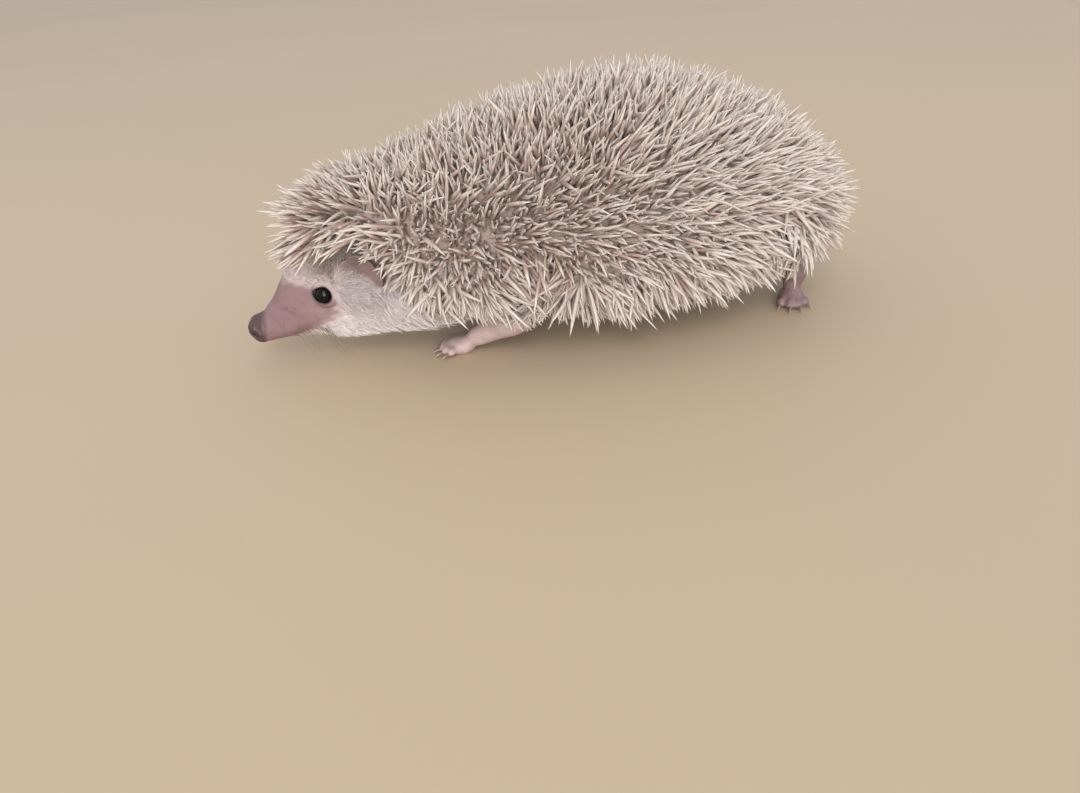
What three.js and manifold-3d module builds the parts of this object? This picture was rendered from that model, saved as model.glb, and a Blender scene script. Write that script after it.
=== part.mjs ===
// A walking African pygmy hedgehog, life size, as a still model.
// Millimetres, Z up. The animal faces -Y, and +X is its left side. It stands on Z = 0.
// The surfaces are the outline of the living animal: out to the quill tips on the spiny mantle,
// and out to the fur on the rest.
import * as THREE from "three";
import { mergeVertices } from "three/addons/utils/BufferGeometryUtils.js";
import Module from "manifold-3d";

const wasm = await Module();
wasm.setup();

// ---- Driving dimensions ----

const GAP = 0.35; // clearance left where two pieces meet
const LEFT = 1;
const RIGHT = -1;

// Stations along a body: y, half width, top, underside, height of the widest point.
// The body closes with a rounded cap of the stated length at each end.
const TORSO = {
  stations: [
    [-60, 32, 61, 24, 39],
    [-46, 37, 63.9, 20, 37],
    [-30, 41, 69.2, 14.5, 34],
    [-10, 44, 74.9, 10.3, 31.5],
    [15, 45.5, 78.4, 8.7, 30.5],
    [31, 45, 78, 8.7, 30.5],
    [45, 43.5, 74.6, 9.6, 30.5],
    [58, 40.8, 69.6, 11.6, 30.5],
    [72, 36.6, 63, 14.2, 30],
    [87, 31, 55, 15, 29.5],
    [98.5, 26, 48, 15.5, 29],
  ],
  caps: [12, 30],
  powers: [2.15, 4.2],
  around: 28,
  along: 18,
};
const CROWN = {
  stations: [
    [-90.5, 19, 55.5, 33.8, 43],
    [-82, 22.5, 57, 32.2, 43],
    [-74, 25, 58.4, 35.4, 44],
    [-66, 27, 59.6, 37.8, 44.5],
    [-60, 29.5, 60.6, 34, 42.5],
    [-55, 32.5, 61.5, 27.5, 40],
    [-48, 36, 63.3, 22, 38],
    [-40, 38.5, 65.6, 20, 37],
  ],
  caps: [26, 4],
  powers: [2.15, 3],
  around: 24,
  along: 12,
};
const CROWN_END = -49; // the plane where the crown of the mantle meets its back
const RUMP_START = 56; // the plane where the back meets the rump

const TRUNK = {
  stations: [
    [-46, 24, 42, 12, 27],
    [-30, 31, 47, 10.6, 27],
    [0, 35, 52, 9.8, 27],
    [40, 36, 52, 9.8, 27],
    [70, 31, 45, 12, 27],
    [90, 22, 38, 16.5, 27],
  ],
  caps: [14, 20],
  powers: [2.2, 2.6],
  around: 16,
  along: 9,
};
const BELLY_RIM = 2; // how far the belly's fur reaches out past the lower edge of the mantle
const NECK = {
  stations: [
    [-66, 18, 44, 6.5, 25],
    [-54, 24.5, 49, 6.2, 26],
    [-42, 30, 52, 8, 27],
    [-28, 31, 52, 11.5, 28],
  ],
  caps: [8, 8],
  powers: [2.2, 2.2],
  around: 16,
  along: 7,
};
const HEAD = {
  stations: [
    [-101, 3.9, 14.6, 6.5, 10.7],
    [-97, 4.9, 16.4, 6.6, 10.9],
    [-93.5, 6, 19.8, 7, 12],
    [-90, 7.4, 24.6, 7.5, 13.8],
    [-86.5, 9.4, 31.2, 8, 16],
    [-83, 11, 35.6, 8.2, 18],
    [-76, 14.3, 39, 7.6, 21],
    [-66, 18, 42.5, 6.5, 23],
    [-56, 21, 45, 6, 25],
    [-46, 20, 45, 8, 27],
  ],
  caps: [2.6, 12],
  powers: [2.1, 2.1],
  around: 20,
  along: 16,
};
const JAW = {
  stations: [
    [-92.5, 3.2, 9.4, 6.7, 8.1],
    [-84, 5.2, 10.8, 7.6, 9.2],
    [-74, 8, 11.2, 6.8, 9],
    [-62, 10.5, 12.8, 5.9, 9.4],
  ],
  caps: [4, 8],
  powers: [2, 2],
  around: 12,
  along: 8,
};

const NOSE = { at: [0, -98.7, 11], radii: [4.1, 3.8, 4.9] };
const EYE = { at: [12.2, -75.2, 24.3], radius: 3.1 };
const EAR = {
  at: [19.4, -63.4, 31.6],
  tall: 15,
  wide: 13.5,
  thick: 1.9,
  cup: 2.4,
  lean: THREE.MathUtils.degToRad(12), // its top leans out from the head
  sweep: THREE.MathUtils.degToRad(16), // its face turns forward
};
const TAIL = {
  points: [[0, 78, 22], [0, 86, 17], [0, 92, 12.5], [0, 96, 9.5]],
  radii: [4.6, 4, 3, 1.9],
};

// Each paw rests at [x, y], with toes fanned about its heading. Headings turn out from straight ahead.
const FORE = {
  palm: { length: 9, width: 8.4, height: 5.2, rise: 2.1 },
  toes: { lengths: [2.9, 3.7, 4.1, 3.8, 3], radius: 1.2, fan: 52 },
  claw: { length: 2.5, radius: 0.75 },
};
const HIND = {
  palm: { length: 11.5, width: 8.4, height: 5.4, rise: 2.2 },
  toes: { lengths: [3.4, 4.1, 4, 3.3], radius: 1.3, fan: 48 },
  claw: { length: 2.6, radius: 0.75 },
};
const TOE_DROP = 1.05; // height of a toe's axis over the floor

const LEGS = [
  {
    name: "foreleg_left", paw: "forepaw_left", side: LEFT, kind: FORE, at: [15, -37.5], heading: 3,
    bones: [[24, -14, 30], [25.5, -15, 21], [23.3, -18.5, 13], [18.6, -27.5, 7.4], [15.8, -34.4, 4.6]],
    radii: [7.5, 7, 5.2, 3.6, 3],
  },
  {
    name: "foreleg_right", paw: "forepaw_right", side: RIGHT, kind: FORE, at: [-16, -20], heading: 8,
    bones: [[-24, -5, 30], [-25, -5.5, 21], [-23, -7, 13.5], [-18.6, -11.5, 8.2], [-16.6, -17, 4.6]],
    radii: [7.5, 7, 5.2, 3.6, 3],
  },
  {
    name: "hindleg_left", paw: "hindpaw_left", side: LEFT, kind: HIND, at: [16.6, 73.6], heading: 74,
    bones: [[26, 56, 30], [26, 61, 23.5], [22, 68.5, 17.5], [16.4, 74, 11.5], [14, 74.6, 5]],
    radii: [8.5, 7.6, 5.6, 4.2, 3.7],
  },
  {
    name: "hindleg_right", paw: "hindpaw_right", side: RIGHT, kind: HIND, at: [-22, 42], heading: 24,
    bones: [[-27, 36, 30], [-27.5, 37, 22.5], [-25.5, 41, 16], [-21.8, 45.4, 10.2], [-20.7, 46, 5]],
    radii: [8.5, 7.6, 5.6, 4.2, 3.7],
  },
];

// ---- Materials ----

const material = (color, roughness, metalness = 0) =>
  new THREE.MeshStandardMaterial({ color, roughness, metalness });
const quills = material(0xc2b3a4, 0.6);
const fur = material(0xe2d8cf, 0.9);
const skin = material(0xb08c8c, 0.65);
const noseSkin = material(0x5b3f43, 0.45);
const eyeBlack = material(0x0c0a0b, 0.08);
const horn = material(0x7d6156, 0.5);

// ---- Shapes ----

// Turns rows of [position, ...values] into a smooth function of position.
function through(rows) {
  const count = rows[0].length - 1;
  const curve = new THREE.CubicInterpolant(
    Float32Array.from(rows, (row) => row[0]),
    Float32Array.from(rows.flatMap((row) => row.slice(1))),
    count,
    new Float32Array(count),
  );
  return (position) => Array.from(curve.evaluate(position));
}

// How much of a section is left at a distance from the end of a body, so that it closes round.
function capAt(distance, length) {
  const missing = 1 - THREE.MathUtils.clamp(distance / length, 0, 1);
  return Math.sqrt(1 - missing * missing);
}

// A sine or cosine pulled out towards a rounded box as the power passes 2.
const boxed = (value, power) => Math.sign(value) * Math.abs(value) ** (2 / power);

// A sphere's grid moved onto the sections of a body that lies along Y.
function bodyAlongY({ stations, caps, powers, around, along }, grow = 0) {
  const sectionAt = through(stations);
  const front = stations[0][0] - grow;
  const back = stations.at(-1)[0] + grow;
  const geometry = new THREE.SphereGeometry(1, around, along);
  const points = geometry.attributes.position;
  const v = new THREE.Vector3();
  for (let i = 0; i < points.count; i++) {
    v.fromBufferAttribute(points, i);
    const y = THREE.MathUtils.mapLinear(v.y, -1, 1, front, back);
    const [half, top, under, widest] = sectionAt(y);
    const cap = Math.min(capAt(y - front, caps[0]), capAt(back - y, caps[1]));
    const turn = Math.atan2(v.z, v.x);
    const up = Math.sin(turn);
    const power = powers[up > 0 ? 0 : 1];
    const reach = (up > 0 ? top - widest : widest - under) + grow;
    points.setXYZ(
      i,
      (half + grow) * cap * boxed(Math.cos(turn), power),
      y,
      widest + reach * cap * boxed(up, power),
    );
  }
  return geometry;
}

// A sphere's grid moved onto a round limb that follows points, with a radius at each.
// No limb runs along X, so its sections are laid out from that direction.
function limbAlong(points, radii, { around = 12, along = 9 } = {}, grow = 0) {
  const curve = new THREE.CatmullRomCurve3(points.map((p) => new THREE.Vector3(...p)));
  const radiusAt = through(radii.map((radius, i) => [i / (radii.length - 1), radius]));
  const length = curve.getLength();
  const geometry = new THREE.SphereGeometry(1, around, along);
  const grid = geometry.attributes.position;
  const v = new THREE.Vector3();
  for (let i = 0; i < grid.count; i++) {
    v.fromBufferAttribute(grid, i);
    const u = THREE.MathUtils.clamp((v.y + 1) / 2, 0, 1);
    const radius = radiusAt(u)[0] + grow;
    const cap = Math.min(capAt(u * length, radius), capAt((1 - u) * length, radius));
    const turn = Math.atan2(v.z, v.x);
    const ahead = curve.getTangentAt(u);
    const across = new THREE.Vector3(1, 0, 0).addScaledVector(ahead, -ahead.x).normalize();
    const over = new THREE.Vector3().crossVectors(across, ahead);
    v.copy(curve.getPointAt(u));
    v.addScaledVector(ahead, grow * (1 - cap) * Math.sign(u - 0.5));
    v.addScaledVector(across, radius * cap * Math.cos(turn));
    v.addScaledVector(over, radius * cap * Math.sin(turn));
    grid.setXYZ(i, v.x, v.y, v.z);
  }
  return geometry;
}

// An ear: a round flap, thick at its rim and cupped on the side that faces +X.
function earFlap(side, grow = 0) {
  const geometry = new THREE.SphereGeometry(1, 14, 8);
  const points = geometry.attributes.position;
  for (let i = 0; i < points.count; i++) {
    const [x, y, z] = [points.getX(i), points.getY(i), points.getZ(i)];
    const rim = y * y + z * z;
    const narrow = 1 - 0.16 * z; // narrower towards the top
    points.setXYZ(
      i,
      x * (EAR.thick / 2 + grow) + EAR.cup * (rim - 0.5),
      y * (EAR.wide / 2 + grow) * narrow,
      z * (EAR.tall / 2 + grow),
    );
  }
  geometry.rotateY(EAR.lean);
  geometry.rotateZ(-EAR.sweep);
  geometry.translate(...EAR.at);
  return side === LEFT ? geometry : mirrored(geometry);
}

// The same body on the other side of the animal, with its faces still pointing out.
function mirrored(geometry) {
  geometry.scale(-1, 1, 1);
  const index = geometry.index.array;
  for (let i = 0; i < index.length; i += 3) {
    [index[i + 1], index[i + 2]] = [index[i + 2], index[i + 1]];
  }
  return geometry;
}

function ellipsoid(at, radii, around = 16, along = 12, grow = 0) {
  const geometry = new THREE.SphereGeometry(1, around, along);
  geometry.rotateX(Math.PI / 2);
  geometry.scale(...radii.map((radius) => radius + grow));
  return geometry.translate(...at);
}

// ---- Joining and cutting ----

function solid(geometry) {
  const bare = geometry.clone();
  bare.deleteAttribute("normal");
  bare.deleteAttribute("uv");
  const merged = mergeVertices(bare, 1e-4);
  return new wasm.Manifold(
    new wasm.Mesh({
      numProp: 3,
      vertProperties: merged.attributes.position.array,
      triVerts: new Uint32Array(merged.index.array),
    }),
  );
}

const without = (whole, ...cutters) => cutters.reduce((left, cutter) => left.subtract(cutter), whole);
const together = (solids) => solids.reduce((joined, next) => joined.add(next));
const largest = (made) => made.decompose().sort((a, b) => b.volume() - a.volume())[0];

function meshOf(name, made, finish) {
  const { vertProperties, triVerts } = largest(made).getMesh();
  const geometry = new THREE.BufferGeometry();
  geometry.setAttribute("position", new THREE.BufferAttribute(vertProperties, 3));
  geometry.setIndex(new THREE.BufferAttribute(triVerts, 1));
  geometry.computeVertexNormals();
  const mesh = new THREE.Mesh(geometry, finish);
  mesh.name = name;
  return mesh;
}

// A block that covers everything from one Y to another.
function slab(from, to) {
  const wide = 300;
  const block = new THREE.BoxGeometry(wide, to - from, wide);
  return solid(block.translate(0, (from + to) / 2, 0));
}

const floorBlock = (() => {
  const wide = 400;
  const deep = 40;
  return solid(new THREE.BoxGeometry(wide, wide, deep).translate(0, 0, -deep / 2));
})();

// ---- Paws ----

// The toes of a paw in its own frame: the paw points along -Y from its palm's middle.
function toesOf({ palm, toes }) {
  const middle = (toes.lengths.length - 1) / 2;
  return toes.lengths.map((length, i) => {
    const share = (i - middle) / middle;
    const turn = THREE.MathUtils.degToRad((share * toes.fan) / 2);
    const out = new THREE.Vector3(Math.sin(turn), -Math.cos(turn), 0);
    const root = new THREE.Vector3(
      share * palm.width * 0.36,
      -palm.length * (0.3 - 0.1 * share * share),
      TOE_DROP + 0.9,
    );
    const tip = root.clone().addScaledVector(out, length).setZ(TOE_DROP + 0.1);
    return { root, tip, out, turn };
  });
}

function pawSolid(kind, grow = 0) {
  const { palm, toes } = kind;
  const pad = ellipsoid(
    [0, 0, palm.rise],
    [palm.width / 2, palm.length / 2, palm.height / 2],
    9,
    6,
    grow,
  );
  const digits = toesOf(kind).map(({ root, tip }) => {
    const knuckle = root.clone().lerp(tip, 0.5).setZ(root.z + 0.35);
    const points = [root, knuckle, tip].map((p) => p.toArray());
    const radii = [toes.radius, toes.radius * 1.08, toes.radius * 0.92];
    return solid(limbAlong(points, radii, { around: 5, along: 4 }, grow));
  });
  return together([solid(pad), ...digits]).subtract(floorBlock);
}

// A claw in its own frame: it grows along -Y from the origin and hooks down to the floor.
function clawSolid({ length, radius }) {
  const points = [[0, 0.4, 0.1], [0, -length * 0.5, 0.15], [0, -length, -0.55]];
  return solid(limbAlong(points, [radius, radius * 0.8, radius * 0.36], { around: 5, along: 3 }));
}

function pawWithClaws({ paw, side, kind, at, heading }) {
  const group = new THREE.Group();
  group.position.set(at[0], at[1], 0);
  group.rotation.z = THREE.MathUtils.degToRad(heading) * side;
  group.updateMatrix();
  group.add(meshOf(paw, pawSolid(kind), skin));
  const grown = pawSolid(kind, GAP);
  toesOf(kind).forEach(({ tip, turn }, i) => {
    const place = new THREE.Matrix4().makeRotationZ(turn).setPosition(tip);
    const claw = clawSolid(kind.claw).transform(place.elements);
    group.add(meshOf(`${paw}_claw_${i + 1}`, without(claw, grown, floorBlock), horn));
  });
  return { group, grown: grown.transform(group.matrix.elements) };
}

// ---- The animal ----

function build() {
  const animal = new THREE.Group();
  const add = (name, made, finish) => animal.add(meshOf(name, made, finish));

  const legs = LEGS.map((leg) => {
    const paw = pawWithClaws(leg);
    animal.add(paw.group);
    const detail = { around: 10, along: 9 };
    const made = solid(limbAlong(leg.bones, leg.radii, detail));
    add(leg.name, without(made, paw.grown, floorBlock), skin);
    const grown = solid(limbAlong(leg.bones, leg.radii, detail, GAP)).add(made);
    return { grown, paw: paw.grown };
  });
  const limbs = legs.flatMap(({ grown, paw }) => [grown, paw]);

  const nose = (grow) => solid(ellipsoid(NOSE.at, NOSE.radii, 12, 8, grow));
  add("nose", nose(0), noseSkin);

  const eyes = [LEFT, RIGHT].map((side) => {
    const at = [EYE.at[0] * side, EYE.at[1], EYE.at[2]];
    const ball = new THREE.Mesh(new THREE.SphereGeometry(EYE.radius, 12, 8), eyeBlack);
    ball.name = side === LEFT ? "eye_left" : "eye_right";
    ball.position.set(...at);
    animal.add(ball);
    return solid(new THREE.SphereGeometry(EYE.radius + GAP, 12, 8).translate(...at));
  });

  const ears = [LEFT, RIGHT].map((side) => {
    add(side === LEFT ? "ear_left" : "ear_right", solid(earFlap(side)), skin);
    return solid(earFlap(side, GAP));
  });

  const jaw = (grow) => solid(bodyAlongY(JAW, grow));
  const head = (grow) => solid(bodyAlongY(HEAD, grow));
  const neck = (grow) => solid(bodyAlongY(NECK, grow));
  const trunk = (grow) => solid(bodyAlongY(TRUNK, grow));
  const tail = (grow) => solid(limbAlong(TAIL.points, TAIL.radii, { around: 8, along: 6 }, grow));

  add("head", without(head(0), nose(GAP), ...eyes, ...ears), fur);
  add("lower_jaw", without(jaw(0), head(GAP), nose(GAP)), fur);
  const face = [head(GAP), jaw(GAP), nose(GAP), ...ears];
  add("neck", without(neck(0), ...face, ...limbs), fur);
  add("tail", tail(0), skin);
  add("trunk", without(trunk(0), neck(GAP), ...face, ...limbs, tail(GAP)), fur);

  // The mantle hangs down round the belly and is open beneath it.
  const opening = TRUNK.stations.map(([y, half, , , widest]) => {
    return [y, half - BELLY_RIM, widest + 5, -2 * widest, widest];
  });
  const beneath = solid(bodyAlongY({ ...TRUNK, stations: opening }));
  const inside = [...face, neck(GAP), trunk(GAP), beneath, tail(GAP), ...limbs];
  const crown = solid(bodyAlongY(CROWN));
  const back = without(solid(bodyAlongY(TORSO)), ...inside);
  const [far, half] = [200, GAP / 2];
  add("mantle_crown", without(crown, ...inside, slab(CROWN_END - half, far)), quills);
  add("mantle_back", without(back, slab(-far, CROWN_END + half), slab(RUMP_START - half, far)), quills);
  add("mantle_rump", without(back, slab(-far, RUMP_START + half)), quills);
  return animal;
}

// The origin is on the floor, under the middle of the animal's outline.
const hedgehog = new THREE.Group();
const animal = build();
hedgehog.add(animal);
const middle = new THREE.Box3().setFromObject(animal, true).getCenter(new THREE.Vector3());
animal.position.set(-middle.x, -middle.y, 0);

export default hedgehog;
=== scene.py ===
"""The looks of the hedgehog: one skin, its quills, fur, whiskers, eyes and claws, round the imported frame.

Lengths are in millimetres up to the moment a mesh is made, and the meshes are in metres.
The animal faces -Y, +X is its left side, and it stands on z = 0.
"""

import math

import bpy
import numpy as np
import openvdb
from mathutils import Matrix, Vector


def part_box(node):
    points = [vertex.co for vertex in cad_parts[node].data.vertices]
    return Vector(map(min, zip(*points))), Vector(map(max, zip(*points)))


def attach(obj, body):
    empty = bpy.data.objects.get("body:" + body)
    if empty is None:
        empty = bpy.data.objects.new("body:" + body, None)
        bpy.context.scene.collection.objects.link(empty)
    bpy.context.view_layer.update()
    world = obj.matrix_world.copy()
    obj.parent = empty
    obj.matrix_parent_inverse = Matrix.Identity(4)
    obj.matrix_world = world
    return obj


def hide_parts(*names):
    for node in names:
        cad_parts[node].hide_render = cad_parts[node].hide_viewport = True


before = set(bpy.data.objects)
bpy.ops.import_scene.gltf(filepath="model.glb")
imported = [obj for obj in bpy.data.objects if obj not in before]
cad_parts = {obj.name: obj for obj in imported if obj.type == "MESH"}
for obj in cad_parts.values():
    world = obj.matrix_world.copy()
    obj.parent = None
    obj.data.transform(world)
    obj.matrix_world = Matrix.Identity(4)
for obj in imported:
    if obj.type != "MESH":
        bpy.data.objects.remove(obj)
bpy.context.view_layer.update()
rng = np.random.default_rng(2024)

MM = 0.001
MANTLE = ["mantle_crown", "mantle_back", "mantle_rump"]
LEGS = ["foreleg_left", "foreleg_right", "hindleg_left", "hindleg_right"]
PAWS = ["forepaw_left", "forepaw_right", "hindpaw_left", "hindpaw_right"]
EARS = ["ear_left", "ear_right"]
EYES = ["eye_left", "eye_right"]
EARLESS = ["trunk", "neck", "head", "lower_jaw", "nose", "tail"] + LEGS + PAWS
FLESH = EARLESS + EARS


def middle_of(node):
    low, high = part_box(node)
    return np.array((low + high) / 2) / MM


def half_size_of(node):
    low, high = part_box(node)
    return np.array((high - low) / 2) / MM


# ---- Small tools for arrays of points ----


def unit(vectors):
    length = np.linalg.norm(vectors, axis=-1, keepdims=True)
    return vectors / np.maximum(length, 1e-9)


def lengths(vectors):
    return np.linalg.norm(vectors, axis=1)


def ramp(values, start, end):
    """0 up to start, 1 from end on, smooth between; start may be the larger one."""
    share = np.clip((values - start) / (end - start), 0, 1)
    return share * share * (3 - 2 * share)


def bump(values, centre, width):
    """1 at the centre, fading like a bell over the width."""
    return np.exp(-(((values - centre) / width) ** 2))


def blob(points, centre, sizes, reach=1.0):
    """1 at the centre, fading like a bell in all directions, stretched by these sizes."""
    return bump(lengths((points - centre) / sizes), 0, reach)


def soft_min(a, b, reach):
    """The smaller of two distances, with a fillet where they are within reach of each other."""
    share = np.clip(0.5 + 0.5 * (b - a) / reach, 0, 1)
    return b + (a - b) * share - reach * share * (1 - share)


def soft_max(a, b, reach):
    return -soft_min(-a, -b, reach)


def mirrored(points):
    """The points brought to the left side, for features that both sides have."""
    left = points.copy()
    left[:, 0] = np.abs(left[:, 0])
    return left


def from_segment(points, start, end):
    """Distance from each point to a straight segment."""
    start, end = np.array(start, float), np.array(end, float)
    along = end - start
    share = np.clip((points - start) @ along / (along @ along), 0, 1)
    return lengths(points - start - share[:, None] * along)


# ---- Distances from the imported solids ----


def arrays_of(mesh):
    """The mesh's points, in metres, and its triangles."""
    mesh.calc_loop_triangles()
    at = np.empty(len(mesh.vertices) * 3, np.float32)
    mesh.vertices.foreach_get("co", at)
    corners = np.empty(len(mesh.loop_triangles) * 3, np.int32)
    mesh.loop_triangles.foreach_get("vertices", corners)
    return at.reshape(-1, 3), corners.reshape(-1, 3)


def solids_of(nodes):
    """Points in millimetres and triangles of several CAD nodes taken together."""
    points, triangles, first = [], [], 0
    for node in nodes:
        at, corners = arrays_of(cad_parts[node].data)
        points.append(at / MM)
        triangles.append(corners + first)
        first += len(at)
    return np.concatenate(points), np.concatenate(triangles)


def blurred(values, spread):
    """The values averaged over neighbours, with a bell of this spread in lattice steps."""
    reach = int(math.ceil(2.5 * spread))
    share = np.exp(-0.5 * (np.arange(-reach, reach + 1) / spread) ** 2)
    share /= share.sum()
    for axis in range(3):
        margins = [(0, 0)] * 3
        margins[axis] = (reach, reach)
        wide = np.pad(values, margins, mode="edge")
        count = values.shape[axis]
        total = np.zeros_like(values)
        for k, weight in enumerate(share):
            window = [slice(None)] * 3
            window[axis] = slice(k, k + count)
            total += np.float32(weight) * wide[tuple(window)]
        values = total
    return values


class Lattice:
    """Signed distances on an even lattice, in millimetres, negative inside."""

    def __init__(self, step, low, values):
        self.step = step
        self.low = np.array(low, float)
        self.values = values
        self.last = np.array(values.shape) - 1.001

    def at(self, points):
        """The distance at each point, by straight interpolation between lattice points."""
        place = np.clip((points - self.low) / self.step, 0, self.last)
        cell = place.astype(np.int64)
        x, y, z = (place - cell).T.astype(np.float32)
        _, rows, columns = self.values.shape
        first = (cell[:, 0] * rows + cell[:, 1]) * columns + cell[:, 2]
        flat = self.values.ravel()

        def along_z(offset):
            start = first + offset
            return flat[start] * (1 - z) + flat[start + 1] * z

        sheet = rows * columns
        near = along_z(0) * (1 - y) + along_z(columns) * y
        far = along_z(sheet) * (1 - y) + along_z(sheet + columns) * y
        return near * (1 - x) + far * x

    def blurred(self, spread):
        return Lattice(self.step, self.low, blurred(self.values, spread / self.step))


def outer_distance(nodes, step, inside, outside):
    """Distances from the outer surface of the nodes' union: walls inside it don't count."""
    points, triangles = solids_of(nodes)
    scale = openvdb.createLinearTransform(voxelSize=step)
    band = openvdb.FloatGrid.createLevelSetFromPolygons(
        points.astype(np.float32), triangles=triangles.astype(np.uint32), transform=scale, halfWidth=3.0
    )
    proud = 0.7 * step
    shell, _, quads = band.convertToPolygons(isovalue=proud)
    wide = openvdb.FloatGrid.createLevelSetFromPolygons(
        shell, quads=quads, transform=scale, exBandWidth=outside / step, inBandWidth=inside / step
    )
    first = np.floor((points.min(0) - outside) / step).astype(int)
    last = np.ceil((points.max(0) + outside) / step).astype(int)
    values = np.zeros(last - first + 1, np.float32)
    wide.copyToArray(values, tuple(int(k) for k in first))
    return Lattice(step, first * step, values + np.float32(proud))


# The coat's outer surface, out to the tips, and the flesh that the fur lies on.
coat_surface = outer_distance(MANTLE + ["trunk", "neck", "head"], 0.6, 20.0, 6.6)
flesh_sharp = outer_distance(EARLESS + EYES, 0.4, 9.0, 7.2)
flesh_soft = flesh_sharp.blurred(1.3)
flesh_sharp = flesh_sharp.blurred(0.42)
coat_surface_soft = coat_surface.blurred(2.0)
limbs = outer_distance(LEGS + PAWS, 0.6, 3.0, 5.4)
ears = outer_distance(EARS, 0.4, 1.2, 8.0).blurred(0.42)


def joint_of(leg, paw):
    """Middle of the part that a leg and its paw share."""
    (leg_low, leg_high), (paw_low, paw_high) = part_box(leg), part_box(paw)
    low = [max(a, b) for a, b in zip(leg_low, paw_low)]
    high = [min(a, b) for a, b in zip(leg_high, paw_high)]
    return (np.array(low) + np.array(high)) / 2 / MM


JOINTS = [joint_of(leg, paw) for leg, paw in zip(LEGS, PAWS)]

# ---- Features of the head ----

EYE = middle_of("eye_left")
EYE_RADIUS = half_size_of("eye_left")[0]
EYE_OUT = unit(np.array([0.94, -0.24, 0.26]))
EYE_BACK = unit(np.cross(np.array([0.0, 0.25, 1.0]), EYE_OUT))
EYE_UP = np.cross(EYE_OUT, EYE_BACK)
LID = 0.42

NOSE = middle_of("nose")

EAR = np.array([19.4, middle_of("ear_left")[1] + 0.3, 31.6])
EAR_LEAN = math.radians(12)
EAR_SWEEP = math.radians(16)
EAR_TURN = np.array(Matrix.Rotation(-EAR_SWEEP, 3, "Z") @ Matrix.Rotation(EAR_LEAN, 3, "Y"))

WHISKER_PAD = (5.6, -90.5, 10.6)
CHEEK = (15.5, -66.5, 14.0)
BROW = (12.5, -73.8, 33.0)

# Only points inside this box are near enough to the head to be carved.
FACE_LOW = np.array([-30.0, -106.0, -1.0])
FACE_HIGH = np.array([30.0, -50.0, 48.0])


def eye_frame(points):
    """Outward, backward and upward distances from the middle of the left eye."""
    offset = points - EYE
    return offset @ EYE_OUT, offset @ EYE_BACK, offset @ EYE_UP, lengths(offset)


def eye_opening(back, up):
    """How far a place is outside the eye's almond opening; the front corner is drawn out."""
    front = np.clip(-back, 0, None)
    across = np.where(back < 0, 3.25, 2.62)
    tall = 2.42 - 0.13 * front
    return (np.sqrt((back / across) ** 2 + ((up + 0.06 * front) / tall) ** 2) - 1) * 2.4


def from_nostril(left):
    return from_segment(left, NOSE + (2.0, -3.2, 0.9), NOSE + (3.5, -1.3, -0.5))


def ear_frame(left):
    """Places measured from the left ear's middle: through its flap, across it and up it."""
    return (left - EAR) @ EAR_TURN


def mouth_height(y):
    """Height of the line between the lips: level at the front, rising to the corner."""
    return 7.7 + 2.6 * ramp(y, -93, -80)


def carve_face(points, distance):
    """Adds lids, nostrils, the mouth line, whisker pads and the ears' folds to the head."""
    left = mirrored(points)
    _, y, z = left.T

    ear = ear_frame(left)
    distance = soft_min(distance, ears.at(points), 1.6 + 9.0 * ramp(ear[:, 1] + 0.5 * ear[:, 2], 2.5, -2.5))
    behind_ear = ramp(ear[:, 1] + 0.9 * ear[:, 2], 0.0, 4.0)

    out, back, up, from_eye = eye_frame(left)
    distance = soft_min(distance, from_eye - EYE_RADIUS - LID, 2.0)
    opening = eye_opening(back, up)
    facing = ramp(out, 0, 1.5)
    distance = soft_max(distance, -np.maximum(opening, 0.4 - out), 0.45)
    distance = np.maximum(distance, EYE_RADIUS + 0.04 - from_eye)
    round_eye = np.sqrt(back**2 + up**2)
    below = ramp(up, 0.8, -1.2)
    distance = distance + facing * 0.2 * bump(round_eye, 4.5, 0.45) * (0.35 + 0.65 * below)
    distance = distance - facing * 0.14 * bump(round_eye, 3.7, 0.4)
    trough = from_segment(left, EYE + 4.2 * EYE_OUT - 3.4 * EYE_BACK - 0.8 * EYE_UP, (8.6, -86.5, 15.0))
    distance = distance + 0.32 * bump(trough, 0, 1.6)

    nostril = from_nostril(left)
    slit = from_segment(left, NOSE + (3.4, -1.4, -0.5), NOSE + (4.3, 1.4, -2.0))
    distance = distance - 0.3 * bump(nostril, 1.35, 0.5)
    distance = soft_max(distance, 0.78 - nostril, 0.4)
    distance = soft_max(distance, 0.26 - slit, 0.25)
    front = ramp(y, NOSE[1] + 0.5, NOSE[1] - 1.5)
    distance = distance + 0.4 * front * bump(left[:, 0], 0, 0.42) * ramp(z, 14.6, 12.6)
    pad_edge = NOSE[1] + 1.5 + 0.12 * (z - NOSE[2])
    above_lip = ramp(z, 6.6, 8.2)
    distance = distance + 0.2 * bump(y, pad_edge, 0.55) * above_lip

    lips = bump(z, mouth_height(y), 0.36) * ramp(y, -97.5, -96) * ramp(y, -76.5, -79.5)
    distance = distance + 0.42 * lips * ramp(left[:, 0], 1.0, 2.2)
    distance = distance - 0.35 * blob(left, WHISKER_PAD, (1.0, 1.9, 1.0), 2.3)
    distance = distance - 0.7 * blob(left, CHEEK, (1.0, 1.4, 1.2), 5.0)

    near_flap = bump(ear[:, 0], 0, 3.0)
    rim = np.sqrt((ear[:, 1] / 6.75) ** 2 + (ear[:, 2] / 7.5) ** 2)
    distance = distance - 0.3 * near_flap * bump(rim, 0.95, 0.1) * behind_ear
    ridge = from_segment(ear, (-0.6, -1.0, 1.4), (-0.4, 2.6, 2.2))
    return distance - 0.3 * bump(ridge, 0, 0.8)


# ---- The skin ----

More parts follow.
